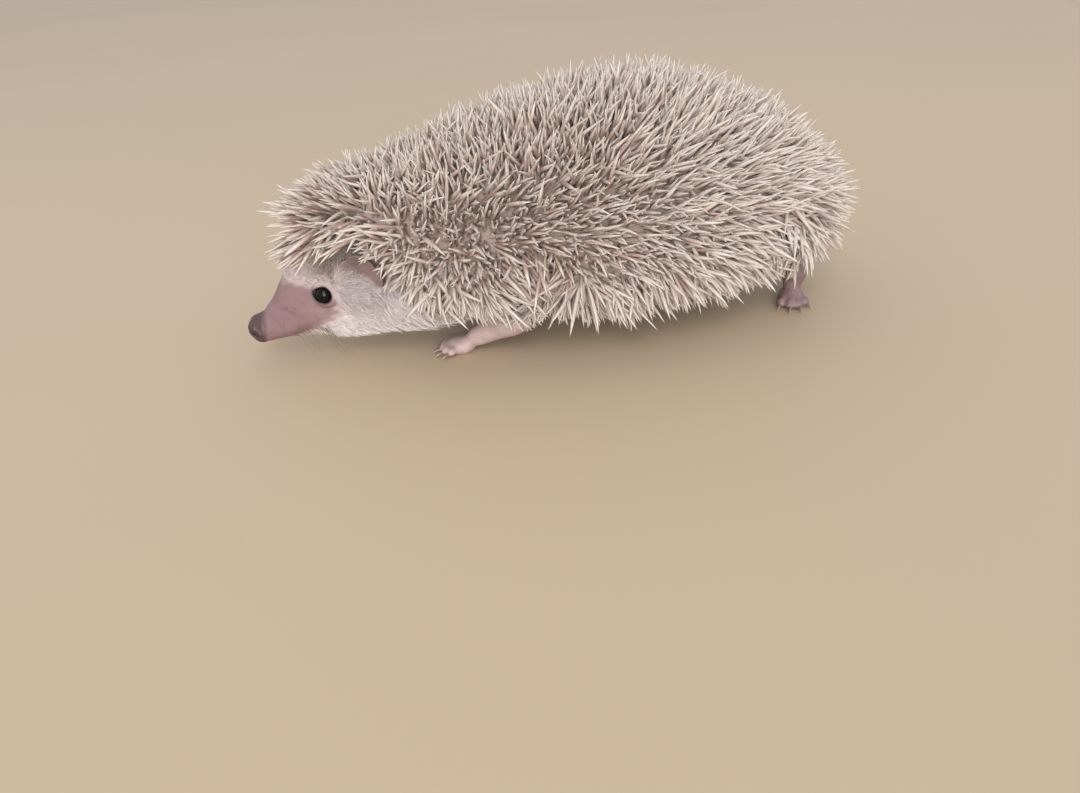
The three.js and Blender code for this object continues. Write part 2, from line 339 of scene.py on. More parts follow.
# Lowest height that the quills' tips reach, from the brow back to the rump.
RIM_Y = [-90, -84, -78, -74, -70, -66, -61, -57, -53, -46, -38, -28, -8, 33, 60, 74, 89, 101]
RIM_Z = [36.5, 34.0, 34.2, 37.0, 40.0, 41.3, 41.0, 37.2, 28.5, 22.0, 17.5, 13.5, 10.0, 9, 11, 13, 14, 16]

# How low the longest quills of the skirt hang, from the elbow back to the rump.
HANG_Y = [-60, -46, -38, -28, -20, -13, -3, 3, 11, 23, 34, 49, 63, 72, 80, 90, 101]
HANG_Z = [30.0, 19.0, 15.5, 12.5, 10.0, 9.8, 8.5, 6.8, 5.6, 6.4, 7.0, 7.6, 9.6, 14.0, 17.5, 19.0, 20.0]


def rim_height(y):
    return np.interp(y, RIM_Y, RIM_Z)


def quill_depth(points):
    """Depth of the skin beneath the quills' tips: deep where they stand, less where they lie."""
    _, y, z = points.T
    standing = np.maximum(ramp(z, 34, 64), ramp(y, 64, 92))
    crown = ramp(y, -38, -58)
    return 7.8 + 2.4 * standing * (1 - 0.6 * crown) + 2.0 * ramp(y, -68, -80)


def fur_depth(points):
    """Depth of the skin beneath the fur: almost nothing on the muzzle, ears, feet and tail."""
    x, y, _ = mirrored(points).T
    face = 0.1 + 0.6 * ramp(y, -88, -78) + 1.4 * ramp(y, -68, -50)
    legs = ramp(limbs.at(points), 3.2, 0.8) * ramp(points[:, 2] - rim_height(y), 2.5, -1.5)
    tail = ramp(y, 79, 84) * ramp(x, 8, 5)
    body = (2.3 * (1 - legs) - 0.25 * legs) * (1 - 0.85 * tail)
    return np.where(y < -50, face, body)


def skin_distance(points):
    """Distance from the skin, negative inside the animal."""
    near_sharp = fine_share(points)
    flesh = flesh_soft.at(points) * (1 - near_sharp) + flesh_sharp.at(points) * near_sharp
    from_coat = coat_surface_soft.at(points)
    above_rim = points[:, 2] - rim_height(points[:, 1])
    quilled = ramp(above_rim, -0.5, 4.0) * ramp(points[:, 1], -60, -48) * ramp(np.abs(points[:, 0]), 21, 28)
    # Above the skirt's rim no limb comes near enough to the coat's surface to push its quills out.
    room = from_coat + 8.5 * ramp(above_rim, -0.5, 6.0) - 40 * (1 - quilled)
    flesh = soft_max(flesh + fur_depth(points), room, 2.0)
    distance = soft_min(from_coat + quill_depth(points), flesh, 5.0)
    low = points[:, 2] < 24
    for joint in JOINTS:
        distance[low] -= 0.9 * np.exp(-(((points[low] - joint) / 3.4) ** 2).sum(axis=1))
    in_face = np.all((points > FACE_LOW) & (points < FACE_HIGH), axis=1)
    if in_face.any():
        distance[in_face] = carve_face(points[in_face], distance[in_face])
    return distance


def fine_share(points):
    """1 where the solids are small and need their own shape: feet, ears, nose, lips and tail."""
    x, y, z = mirrored(points).T
    feet = ramp(z, 5.5, 4.0) * ramp(y, -50, -46)
    nose = ramp(y, -90, -94)
    lips = ramp(z, 9.5, 8.5) * ramp(y, -60, -70)
    tail = ramp(y, 82, 86) * ramp(x, 8, 6)
    return np.maximum.reduce([feet, nose, lips, tail])


def slope_of(distance, points, reach):
    """Unit vectors along which this distance grows fastest."""
    slope = np.empty_like(points)
    for axis in range(3):
        step = np.zeros(3)
        step[axis] = reach
        slope[:, axis] = distance(points + step) - distance(points - step)
    return unit(slope)


def skin_normal(points, reach=0.25):
    return slope_of(skin_distance, points, reach)


def on_skin(points, height=0.0, rounds=3, most=0.5):
    """The points moved along the skin's slope until they are at this height above it."""
    points = points.copy()
    for _ in range(rounds):
        miss = skin_distance(points) - height
        points -= skin_normal(points) * np.clip(miss, -most, most)[:, None]
    return points


def skin_surface(step=0.6):
    """The skin's first mesh, from its distances on an even lattice."""
    low = np.floor(np.array([-42.0, -103.0, -2.4]) / step).astype(int)
    high = np.ceil(np.array([42.0, 101.0, 72.0]) / step).astype(int)
    xs, ys, zs = (np.arange(a, b + 1) * step for a, b in zip(low, high))
    values = np.empty((len(xs), len(ys), len(zs)), np.float32)
    slab = 16
    for start in range(0, len(ys), slab):
        part = ys[start : start + slab]
        places = np.stack(np.meshgrid(xs, part, zs, indexing="ij"), axis=-1).reshape(-1, 3)
        values[:, start : start + slab] = skin_distance(places).reshape(len(xs), len(part), len(zs))
    values = np.clip(values, -3 * step, 3 * step)
    scale = openvdb.createLinearTransform(voxelSize=step)
    grid = openvdb.FloatGrid(3 * step)
    grid.transform = scale
    grid.copyFromArray(values, tuple(int(k) for k in low))
    points, _, quads = grid.convertToPolygons(isovalue=0.0)
    return points.astype(float), quads.astype(np.int64)


def new_mesh(name, points, faces):
    """A mesh from points in millimetres and an array of faces with the same number of corners."""
    count, corners = faces.shape
    mesh = bpy.data.meshes.new(name)
    mesh.vertices.add(len(points))
    mesh.vertices.foreach_set("co", (points * MM).astype(np.float32).ravel())
    mesh.loops.add(count * corners)
    mesh.loops.foreach_set("vertex_index", faces.astype(np.int32).ravel())
    mesh.polygons.add(count)
    mesh.polygons.foreach_set("loop_start", np.arange(0, count * corners, corners, dtype=np.int32))
    mesh.update(calc_edges=True)
    mesh.shade_smooth()
    return mesh


def new_object(name, data):
    made = bpy.data.objects.new(name, data)
    bpy.context.scene.collection.objects.link(made)
    return made


def new_piece(name, mesh, material):
    piece = new_object(name, mesh)
    mesh.materials.append(material)
    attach(piece, "root")
    return piece


def largest_part(points, faces):
    """The faces joined to the biggest connected surface, with the points they use."""
    label = np.arange(len(points))
    while True:
        lowest = label[faces].min(axis=1)
        again = label.copy()
        np.minimum.at(again, faces.ravel(), np.repeat(lowest, faces.shape[1]))
        again = again[again]
        if np.array_equal(again, label):
            break
        label = again
    names, counts = np.unique(label, return_counts=True)
    kept = label == names[counts.argmax()]
    index = np.cumsum(kept) - 1
    return points[kept], index[faces[kept[faces[:, 0]]]]


def simplified(mesh, weights, share):
    """The mesh with fewer faces where the weights are 1 and nearly all of them where 0."""
    holder = new_object("simplified", mesh)
    group = holder.vertex_groups.new(name="coarse")
    for level in range(1, 5):
        chosen = np.nonzero(np.round(weights * 4) == level)[0]
        group.add(chosen.tolist(), level / 4, "REPLACE")
    change = holder.modifiers.new("fewer faces", "DECIMATE")
    change.ratio = share
    change.vertex_group = group.name
    change.use_collapse_triangulate = True
    graph = bpy.context.evaluated_depsgraph_get()
    made = bpy.data.meshes.new_from_object(holder.evaluated_get(graph))
    bpy.data.objects.remove(holder)
    return made


def split_edges_in_half(points, triangles, chosen):
    """Each chosen triangle cut in four, and its neighbours cut to match."""
    edges = np.sort(triangles[:, [0, 1, 1, 2, 2, 0]].reshape(-1, 3, 2), axis=2)
    keys = edges[..., 0] * len(points) + edges[..., 1]
    split = np.isin(keys, np.unique(keys[chosen]))
    names, place = np.unique(keys[split], return_inverse=True)
    middles = (points[names // len(points)] + points[names % len(points)]) / 2
    middle = np.full(keys.shape, -1)
    middle[split] = len(points) + place
    cuts = split.sum(axis=1)
    made = [triangles[cuts == 0]]
    for turn in range(3):
        order = [(turn + k) % 3 for k in range(3)]
        first = split[:, order[0]] & (cuts == 1)
        a, b, c = triangles[first][:, order].T
        m = middle[first, order[0]]
        made += [np.stack([a, m, c], 1), np.stack([m, b, c], 1)]
        pair = split[:, order[0]] & split[:, order[1]] & (cuts == 2)
        a, b, c = triangles[pair][:, order].T
        m, n = middle[pair, order[0]], middle[pair, order[1]]
        made += [np.stack([a, m, c], 1), np.stack([m, n, c], 1), np.stack([m, b, n], 1)]
    a, b, c = triangles[cuts == 3].T
    m, n, o = middle[cuts == 3].T
    made += [np.stack([a, m, o], 1), np.stack([m, b, n], 1), np.stack([o, n, c], 1), np.stack([m, n, o], 1)]
    return np.concatenate([points, middles]), np.concatenate(made)


def needs_detail(points):
    """1 where the skin wants small faces: the bare face, the eyes, the ears and the feet."""
    left = mirrored(points)
    _, y, z = left.T
    face = ramp(y, -66, -70) * ramp(z, 38, 34)
    ear = ear_frame(left)
    flap = ramp(lengths(ear / (5.0, 8.0, 9.0)), 1.15, 1.0)
    feet = ramp(z, 7.5, 6.5) * ramp(y, -50, -46) * np.maximum(ramp(left[:, 0], 9, 10), ramp(y, 82, 84))
    return np.maximum.reduce([face, flap, feet])


rough_points, rough_quads = largest_part(*skin_surface())
rough_mesh = new_mesh("skin_rough", rough_points, rough_quads)
plain_share = 1 - needs_detail(rough_points)
lean_points, lean_triangles = arrays_of(simplified(rough_mesh, plain_share, 0.3))
skin_points = on_skin(lean_points.astype(float) / MM, rounds=2)
skin_triangles = lean_triangles.astype(np.int64)
fine = needs_detail(skin_points[skin_triangles].mean(axis=1)) > 0.5
skin_points, skin_triangles = split_edges_in_half(skin_points, skin_triangles, fine)
skin_points = on_skin(skin_points, rounds=4, most=0.3)
skin_points[:, 2] = np.maximum(skin_points[:, 2], 0.0)

# ---- Markings and painted shade, shared by the skin and the coat ----

WHITE_FUR = np.array([0.89, 0.81, 0.79])
# Painted shade: the rosy, darker tone of the upper cheek and forehead under the quills' visor.
ROSE_SHADE = np.array([0.60, 0.50, 0.50])
CREAM_FUR = np.array([0.80, 0.725, 0.63])
BROWN_FUR = np.array([0.23, 0.145, 0.09])
# Painted shade: the darker tone of the forehead under the quills' visor.
BROW_SHADE = np.array([0.55, 0.44, 0.385])
PINK_SKIN = np.array([0.215, 0.128, 0.135])
MAUVE_SKIN = np.array([0.19, 0.115, 0.125])
PALE_PINK = np.array([0.43, 0.315, 0.30])
NOSE_SKIN = np.array([0.068, 0.034, 0.036])
LID_SKIN = np.array([0.016, 0.010, 0.010])
EAR_SKIN = np.array([0.64, 0.54, 0.53])
EAR_RIM = np.array([0.155, 0.093, 0.086])
# Painted shade: the near-black of the hollow between the ear and the quills over it.
HOLLOW_SHADE = np.array([0.045, 0.028, 0.022])
UNDER_QUILLS = np.array([0.34, 0.25, 0.205])
WHISKER = np.array([0.13, 0.085, 0.055])

MUZZLE_SPOTS = [((8.5, -86.7, 19.4), 0.9), ((9.0, -85.2, 18.3), 0.7), ((9.6, -83.8, 19.6), 0.6)]

# How far back the bare skin of the face reaches at each height, through the front of the eye.
BARE_Z = [5, 9.6, 13.4, 16.6, 19, 22, 25, 28]
BARE_Y = [-86.5, -81.5, -76.4, -71.4, -68.8, -70.0, -74.5, -78]


def mixed(first, second, share):
    """From the first colour to the second, by each point's share; either may be one colour."""
    return first * (1 - share[:, None]) + second * share[:, None]


def bare_face(points):
    """1 on the bare muzzle, up to the front of the eye, and 0 where the white fur begins."""
    _, y, z = points.T
    border = np.interp(z, BARE_Z, BARE_Y)
    uneven = 0.5 * np.sin(1.9 * z + 0.7 * y) + 0.4 * np.sin(3.1 * z - 1.7 * y)
    return ramp(y - border + uneven, 4.6, -4.0) * ramp(z + 0.5 * uneven, 30.0, 25.6)


def furless(points):
    """1 on the muzzle, ears, feet and tail tip, where skin shows."""
    left = mirrored(points)
    _, y, z = left.T
    ear = ear_frame(left)
    flap = ramp(lengths(ear / (4.0, 7.6, 8.4)), 1.12, 0.98)
    flap *= ramp(0.7 * ear[:, 1] + ear[:, 2], -2.5, 1.5)
    tail = ramp(y, 83, 87) * ramp(left[:, 0], 8, 6)
    return np.maximum.reduce([bare_face(points), bare_legs(points), flap, tail])


def bare_legs(points):
    """1 on the feet and the lower legs."""
    _, y, z = points.T
    hind = ramp(y, 20, 30)
    near = ramp(limbs.at(points), 3.8, 1.8) * ramp(z - rim_height(y) - 6 * hind, 3, 0)
    return ramp(y, -50, -45) * np.maximum(ramp(z, 6.5, 4.5), near * ramp(z, 23, 18))


def fur_colour(points):
    """White on the face and throat, brown by the brow over the eye, cream on the belly; painted shade under
    the visor darkens the upper cheek, the forehead and the ear's hollow.
    """
    left = mirrored(points)
    _, y, z = left.T
    colour = mixed(WHITE_FUR, CREAM_FUR, 0.75 * ramp(y, -52, -25))
    # Painted shade under the visor: rosy on the upper cheek, browner higher up by the forehead.
    colour = mixed(colour, ROSE_SHADE, 0.9 * ramp(z, 17, 26) * ramp(y, -50, -60))
    colour = mixed(colour, BROW_SHADE, 0.7 * ramp(z, 28, 36) * ramp(y, -56, -60))
    colour = mixed(colour, BROWN_FUR, 0.95 * blob(left, BROW, (1.8, 1.7, 1.1), 3.4))
    # Painted shade on the hairs in the hollow between the ear and the quills.
    colour = mixed(colour, HOLLOW_SHADE, 0.85 * hollow_shade(points))
    nape = ramp(z - rim_height(y), -2.5, 1.5) * ramp(y, -76, -68) * ramp(y, -34, -46)
    return mixed(colour, BROWN_FUR, 0.5 * nape)


def hollow_shade(points):
    """1 in the hollow between the ear and the quills above it, where shade is painted into the skin and
    hair.
    """
    return blob(mirrored(points), (15.5, -64.5, 42.0), (11.0, 8.0, 5.4))


def skin_colour(points):
    left = mirrored(points)
    _, y, z = left.T
    under_fur = mixed(fur_colour(points), PALE_PINK, np.full(len(points), 0.3))
    quilled = ramp(z - rim_height(y), 8, 22) * ramp(y, -82, -78)
    under_fur = mixed(under_fur, UNDER_QUILLS, quilled)
    bare = mixed(PINK_SKIN, MAUVE_SKIN, 0.55 * ramp(y, -84, -93))
    bare = mixed(bare, PINK_SKIN * 1.3, 0.8 * ramp(z, 11, 7.5) * ramp(y, -97, -94))
    bare = mixed(bare, PALE_PINK, 0.25 * ramp(y, -84, -74) * ramp(z, 26, 20))
    bare = mixed(bare, MAUVE_SKIN, 0.5 * ramp(z, 21, 26) * ramp(left[:, 0], 7, 3))
    for spot, size in MUZZLE_SPOTS:
        bare = mixed(bare, MAUVE_SKIN * 0.55, 0.6 * blob(left, spot, (2.0, 1.3, 0.8), size))
    colour = mixed(under_fur, bare, bare_face(points))
    hind = ramp(y, 20, 30)
    foot = mixed(PALE_PINK, MAUVE_SKIN, 0.85 * hind)
    colour = mixed(colour, foot, bare_legs(points))
    tail = ramp(y, 81, 85) * ramp(left[:, 0], 8, 6)
    colour = mixed(colour, PALE_PINK, tail)
    ear = ear_frame(left)
    flap = ramp(lengths(ear / (4.2, 7.8, 8.6)), 1.1, 0.95)
    upper = ramp(ear[:, 2], -5.0, 0.0)
    colour = mixed(colour, EAR_SKIN, 0.5 * flap * upper)
    edge = ramp(0.7 * ear[:, 1] + ear[:, 2], -4.5, 1.5)
    behind = ramp(ear[:, 0], 0.2, -0.8)
    colour = mixed(colour, EAR_RIM, flap * np.maximum(0.9 * edge, 0.8 * behind))
    # Painted shade in the hollow between the ear and the quills.
    colour = mixed(colour, HOLLOW_SHADE, 0.9 * hollow_shade(points) * (1 - 0.3 * flap))
    base_spot = blob(left, (21.0, -57.2, 28.4), (1.6, 1.0, 1.3), 1.2)
    colour = mixed(colour, EAR_RIM * (0.8, 0.9, 1.1), 0.7 * base_spot)
    out, back, up, from_eye = eye_frame(left)
    opening = eye_opening(back, up)
    seen = ramp(out, 0.5, 1.5)
    round_lids = ramp(opening, 2.6, 0.9) * (0.6 + 0.4 * ramp(up, 1, -1.5))
    colour = mixed(colour, MAUVE_SKIN, 0.8 * seen * round_lids)
    corner = lengths(np.stack([back + 3.4, up - 0.2], 1) / (1.3, 0.8))
    lids = np.maximum(ramp(opening, 0.55, 0.25), 0.8 * ramp(corner, 1.3, 0.7))
    colour = mixed(colour, LID_SKIN, seen * lids)
    pad_edge = NOSE[1] + 1.2 + 0.12 * (z - NOSE[2])
    nose = ramp(y - pad_edge, 1.9, -1.1)
    colour = mixed(colour, NOSE_SKIN, nose)
    nostril = from_nostril(left)
    # The nostril pits are painted near black: painted shade in the hollows.
    return mixed(colour, NOSE_SKIN * 0.25, ramp(nostril, 1.0, 0.7))


# ---- Materials ----


class Nodes:
    """A material's node tree, with short ways to add and join nodes."""

    def __init__(self, name):
        self.material = bpy.data.materials.new(name)
        self.material.use_nodes = True
        self.tree = self.material.node_tree
        self.shader = self.tree.nodes["Principled BSDF"]

    def add(self, kind, inputs=(), **settings):
        node = self.tree.nodes.new(kind)
        for key, value in settings.items():
            setattr(node, key, value)
        for key, value in dict(inputs).items():
            self.set(node.inputs[key], value)
        return node

    def set(self, socket, value):
        if isinstance(value, bpy.types.NodeSocket):
            self.tree.links.new(value, socket)
        elif isinstance(value, (tuple, list, np.ndarray)) and len(value) == 3 and socket.type == "RGBA":
            socket.default_value = (*value, 1.0)
        else:
            socket.default_value = value

    def attribute(self, name, output="Fac"):
        return self.add("ShaderNodeAttribute", attribute_name=name).outputs[output]

    def noise(self, scale, detail=2.0, vector=None, rough=0.5):
        inputs = {"Scale": scale, "Detail": detail, "Roughness": rough}
        inputs["Vector"] = vector or self.places()
        return self.add("ShaderNodeTexNoise", inputs).outputs["Fac"]

    def places(self, stretch=None):
        at = self.add("ShaderNodeTexCoord").outputs["Object"]
        if stretch is None:
            return at
        return self.add("ShaderNodeMapping", {"Vector": at, "Scale": stretch}).outputs["Vector"]

    def curve(self, value, stops):
        """A ramp of grey values or colours over 0 to 1; stops are (place, value) pairs."""
        node = self.add("ShaderNodeValToRGB", {"Fac": value})
        elements = node.color_ramp.elements
        while len(elements) < len(stops):
            elements.new(0.5)
        for element, (place, shade) in zip(elements, stops):
            element.position = place
            element.color = (shade, shade, shade, 1.0) if np.isscalar(shade) else (*shade, 1.0)
        return node.outputs["Color"]

    def mix(self, share, first, second, blend="MIX"):
        node = self.add("ShaderNodeMix", data_type="RGBA", blend_type=blend)
        self.set(node.inputs["Factor"], share)
        self.set(node.inputs[6], first)
        self.set(node.inputs[7], second)
        return node.outputs[2]

    def arithmetic(self, operation, first, second):
        node = self.add("ShaderNodeMath", operation=operation)
        self.set(node.inputs[0], first)
        self.set(node.inputs[1], second)
        return node.outputs[0]

    def plus(self, first, second):
        return self.arithmetic("ADD", first, second)

    def times(self, first, second):
        return self.arithmetic("MULTIPLY", first, second)

    def relief(self, height, depth_mm, strength=1.0, under=None):
        inputs = {"Height": height, "Distance": depth_mm * MM, "Strength": strength}
        if under is not None:
            inputs["Normal"] = under
        return self.add("ShaderNodeBump", inputs).outputs["Normal"]

    def finish(self, **inputs):
        for key, value in inputs.items():
            self.set(self.shader.inputs[key.replace("_", " ")], value)
        return self.material


def skin_material():
    nodes = Nodes("hedgehog skin")
    colour = nodes.attribute("marking_and_shade", "Color")
    furred = nodes.attribute("furred")
    wet = nodes.attribute("wet")
    mottle = nodes.curve(nodes.noise(300, 4, rough=0.6), [(0.3, 0.72), (0.46, 0.95), (0.7, 1.08)])
    bare = nodes.mix(0.75, colour, mottle, "MULTIPLY")
    streaks = nodes.noise(1.0, 3, vector=nodes.places((1500, 260, 1500)), rough=0.6)
    hair = nodes.curve(streaks, [(0.3, 0.92), (0.6, 1.02), (0.8, 1.05)])
    coat = nodes.mix(0.8, colour, hair, "MULTIPLY")
    base = nodes.mix(furred, bare, coat)
    pebbles = nodes.add(
        "ShaderNodeTexVoronoi", {"Vector": nodes.places(), "Scale": 1500.0}, feature="SMOOTH_F1"
    ).outputs["Distance"]
    wrinkles = nodes.noise(1.0, 3, vector=nodes.places((520, 1100, 620)))
    fold = nodes.relief(wrinkles, 0.22, 0.5)
    grain = nodes.relief(pebbles, 0.12, 0.5, under=fold)
    lie = nodes.relief(nodes.times(streaks, furred), 0.2, 0.35, under=grain)
    roughness = nodes.arithmetic("SUBTRACT", 0.58, nodes.times(wet, 0.16))
    return nodes.finish(
        Base_Color=base,
        Roughness=nodes.plus(roughness, nodes.times(furred, 0.12)),
        Subsurface_Weight=0.12,
        Subsurface_Radius=(1.0, 0.45, 0.3),
        Subsurface_Scale=0.0016,
        Sheen_Weight=nodes.times(furred, 0.3),
        Sheen_Roughness=0.5,
        Normal=lie,
    )


def quill_material():
    """Banded horn: a pale root, a brown or rosy middle, then cream to the point."""
    nodes = Nodes("quill horn")
    along = nodes.attribute("along")
    wander = nodes.times(nodes.arithmetic("SUBTRACT", nodes.noise(700, 2), 0.5), 0.1)
    place = nodes.plus(nodes.plus(along, nodes.attribute("shift")), wander)
    band = nodes.curve(place, [(0.26, 0.0), (0.34, 1.0), (0.56, 1.0), (0.67, 0.0)])
    tone = nodes.attribute("tone")
    cream = [(0.0, (0.47, 0.38, 0.32)), (0.5, (0.54, 0.465, 0.41)), (1.0, (0.60, 0.54, 0.49))]
    rosy = [(0.0, (0.21, 0.137, 0.107)), (0.5, (0.325, 0.225, 0.187)), (1.0, (0.46, 0.335, 0.285))]
    pale = nodes.curve(tone, cream)
    brown = nodes.curve(tone, rosy)
    colour = nodes.mix(nodes.times(band, nodes.attribute("dark")), pale, brown)
    flecks = nodes.curve(nodes.noise(2600, 2), [(0.3, 0.86), (0.7, 1.06)])
    colour = nodes.mix(0.6, colour, flecks, "MULTIPLY")
    # Darker toward the root: painted shade down between the crowded quills.
    root = nodes.curve(along, [(0.0, 0.8), (0.3, 0.97), (0.46, 1.0)])
    colour = nodes.mix(0.75, colour, root, "MULTIPLY")
    grooves = nodes.noise(1.0, 2, vector=nodes.places((3000, 3000, 3000)))
    return nodes.finish(
        Base_Color=colour,
        Roughness=0.5,
        Specular_IOR_Level=0.4,
        Subsurface_Weight=0.15,
        Subsurface_Radius=(1.0, 0.7, 0.5),
        Subsurface_Scale=0.0008,
        Normal=nodes.relief(grooves, 0.05, 0.4),
    )


def fur_material():
    nodes = Nodes("soft fur")
    colour = nodes.attribute("marking_and_shade", "Color")
    along = nodes.attribute("along")
    # Darker at the root and a little lighter at the tip: painted shade and light along each hair.
    light = nodes.curve(along, [(0.0, 0.92), (0.5, 1.0), (1.0, 1.05)])
    colour = nodes.mix(0.9, colour, light, "MULTIPLY")
    uneven = nodes.curve(nodes.noise(500, 3), [(0.3, 0.9), (0.7, 1.05)])
    return nodes.finish(
        Base_Color=nodes.mix(0.8, colour, uneven, "MULTIPLY"),
        Roughness=0.62,
        Subsurface_Weight=0.1,
        Subsurface_Radius=(1.0, 0.8, 0.65),
        Subsurface_Scale=0.0008,
        Sheen_Weight=0.25,
        Sheen_Roughness=0.5,
        Normal=nodes.relief(nodes.noise(4000, 1), 0.04, 0.3),
    )


def eye_material():
    """Black and wet, with a very dark brown iris round the pupil."""
    nodes = Nodes("dark wet eye")
    across = nodes.attribute("across")
    fibres = nodes.plus(across, nodes.times(nodes.noise(2200, 3), 0.1))
    iris = nodes.curve(
        fibres, [(0.0, (0.002, 0.0015, 0.0015)), (0.5, (0.004, 0.003, 0.003)), (0.8, (0.014, 0.009, 0.007))]
    )
    return nodes.finish(Base_Color=iris, Roughness=0.04, Specular_IOR_Level=0.2)


def claw_material():
    nodes = Nodes("claw horn")
    along = nodes.attribute("along")
    colour = nodes.curve(
        along, [(0.0, (0.34, 0.20, 0.17)), (0.35, (0.20, 0.13, 0.10)), (1.0, (0.33, 0.26, 0.20))]
    )
    uneven = nodes.curve(nodes.noise(1800, 3), [(0.3, 0.75), (0.7, 1.1)])
    lines = nodes.noise(1.0, 2, vector=nodes.places((4000, 900, 4000)))
    return nodes.finish(
        Base_Color=nodes.mix(0.8, colour, uneven, "MULTIPLY"),
        Roughness=0.34,
        Normal=nodes.relief(lines, 0.06, 0.4),
    )


def floor_material():
    nodes = Nodes("pale floor")
    shade = nodes.curve(nodes.noise(3.0, 2), [(0.3, (0.46, 0.355, 0.25)), (0.7, (0.48, 0.37, 0.26))])
    return nodes.finish(Base_Color=shade, Roughness=0.6)


SKIN = skin_material()
QUILL = quill_material()
FUR = fur_material()
EYE_GLOSS = eye_material()
CLAW = claw_material()


def give(mesh, name, values):
    """Stores one number or one colour at each point of a mesh."""
    if values.ndim == 1:
        layer = mesh.attributes.new(name, "FLOAT", "POINT")
        layer.data.foreach_set("value", values.astype(np.float32))
        return
    layer = mesh.attributes.new(name, "FLOAT_COLOR", "POINT")
    colours = np.ones((len(values), 4), np.float32)
    colours[:, :3] = values
    layer.data.foreach_set("color", colours.ravel())


skin_mesh = new_mesh("skin", skin_points, skin_triangles)
give(skin_mesh, "marking_and_shade", skin_colour(skin_points))
# No sheen in the hollow where shade is painted.
give(skin_mesh, "furred", (1 - furless(skin_points)) * (1 - hollow_shade(skin_points)))
give(skin_mesh, "wet", ramp(skin_points[:, 1], NOSE[1] + 2.0, NOSE[1] + 0.2))
skin = new_piece("skin", skin_mesh, SKIN)
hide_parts(*FLESH)

# ---- Strands: quills and hairs as joined meshes ----

LONG_AXIS_HEIGHT = 32.0
HALF_LENGTH = 104.0
PATCH = 0.003


def unwrapped(points):
    """Place of each point on the skin's own unwrap: the angle round its long axis, and y."""
    angle = np.arctan2(points[:, 0], points[:, 2] - LONG_AXIS_HEIGHT)
    across = 0.5 + 0.49 * angle / math.pi
    along = 0.01 + 0.98 * np.clip((points[:, 1] + HALF_LENGTH) / (2 * HALF_LENGTH), 0, 1)
    return np.stack([across, along], 1)


def ring_triangles(rings, sides):
    """Triangles over rings of points that close in one point at each end."""
    made = []
    for k in range(sides):
        following = (k + 1) % sides
        made.append((0, 1 + following, 1 + k))
        for ring in range(rings - 1):
            low, high = 1 + ring * sides, 1 + (ring + 1) * sides
            made.append((low + k, low + following, high + following))
            made.append((low + k, high + following, high + k))
        last = 1 + (rings - 1) * sides
        made.append((last + k, last + following, last + sides))
    return np.array(made)


def straight_paths(roots, direction, length, share):
    """Stations at these shares of each strand's length, straight on from its root."""
    return roots[:, None, :] + direction[:, None, :] * (length[:, None] * share)[..., None]


def strand_mesh(name, paths, radii, sides, across, flat=1.0, extra=()):
    """Tapered strands with a point at each end, joined in one mesh.

    paths is strands x stations x 3, radii strands x stations, and across a direction for each
    strand that its sections are laid out from. flat thins the sections at right angles to it.
    """
    strands, stations, _ = paths.shape
    rings = stations - 2
    per_strand = rings * sides + 2
    forward = unit(np.gradient(paths, axis=1))
    side = unit(across)[:, None, :]
    side = unit(side - forward * (side * forward).sum(-1, keepdims=True))
    up = np.cross(forward, side)
    angles = np.arange(sides) * (2 * math.pi / sides)
    side, up = side[:, 1:-1, None, :], up[:, 1:-1, None, :]
    ring_shape = side * np.cos(angles)[:, None] + up * np.sin(angles)[:, None] * flat
    ring_points = paths[:, 1:-1, None, :] + ring_shape * radii[:, 1:-1, None, None]
    points = np.empty((strands, per_strand, 3))
    points[:, 0] = paths[:, 0]
    points[:, 1:-1] = ring_points.reshape(strands, rings * sides, 3)
    points[:, -1] = paths[:, -1]

    first = np.arange(strands)[:, None, None] * per_strand
    triangles = (first + ring_triangles(rings, sides)).reshape(-1, 3)
    mesh = new_mesh(name, points.reshape(-1, 3), triangles)

    share = np.linspace(0, 1, stations)
    along = np.concatenate([[0.0], np.repeat(share[1:-1], sides), [1.0]])
    around = np.concatenate([[0.5], np.tile(np.arange(sides) / (sides - 1), rings), [0.5]])
    local = np.stack([around - 0.5, along - 0.5], 1) * PATCH
    places = unwrapped(paths[:, 1])[:, None, :] + local
    places = np.clip(places, 0.001, 0.999).reshape(-1, 2)
    layer = mesh.uv_layers.new(name="OFBake")
    layer.data.foreach_set("uv", places[triangles.ravel()].astype(np.float32).ravel())
    give(mesh, "along", np.tile(along, strands))
    for key, values in dict(extra).items():
        give(mesh, key, np.repeat(values, per_strand, axis=0))
    return mesh


def strand_pieces(groups, paths, radii, sides, across, material, flat=1.0, extra=()):
    """One piece for each name and its group of the strands."""
    made = []
    for name, chosen in groups:
        marks = {key: values[chosen] for key, values in dict(extra).items()}
        mesh = strand_mesh(name, paths[chosen], radii[chosen], sides, across[chosen], flat, marks)
        made.append(new_piece(name, mesh, material))
    return made


def parts_of(order, count):
    """The order cut into this many runs of nearly the same length."""
    return [order[k * len(order) // count : (k + 1) * len(order) // count] for k in range(count)]


def areas_of(triangles, points):
    a, b, c = (points[triangles[:, k]] for k in range(3))
    return lengths(np.cross(b - a, c - a)) / 2


def scattered(triangles, points, weight, count):
    """Random places on a surface, as many in each triangle as its area times its weight asks."""
    share = np.cumsum(areas_of(triangles, points) * weight)
    chosen = np.searchsorted(share, rng.random(count) * share[-1])
    a, b, c = (points[triangles[chosen, k]] for k in range(3))
    u, v = rng.random((2, count))
    fold = u + v > 1
    u[fold], v[fold] = 1 - u[fold], 1 - v[fold]
    return a + u[:, None] * (b - a) + v[:, None] * (c - a)


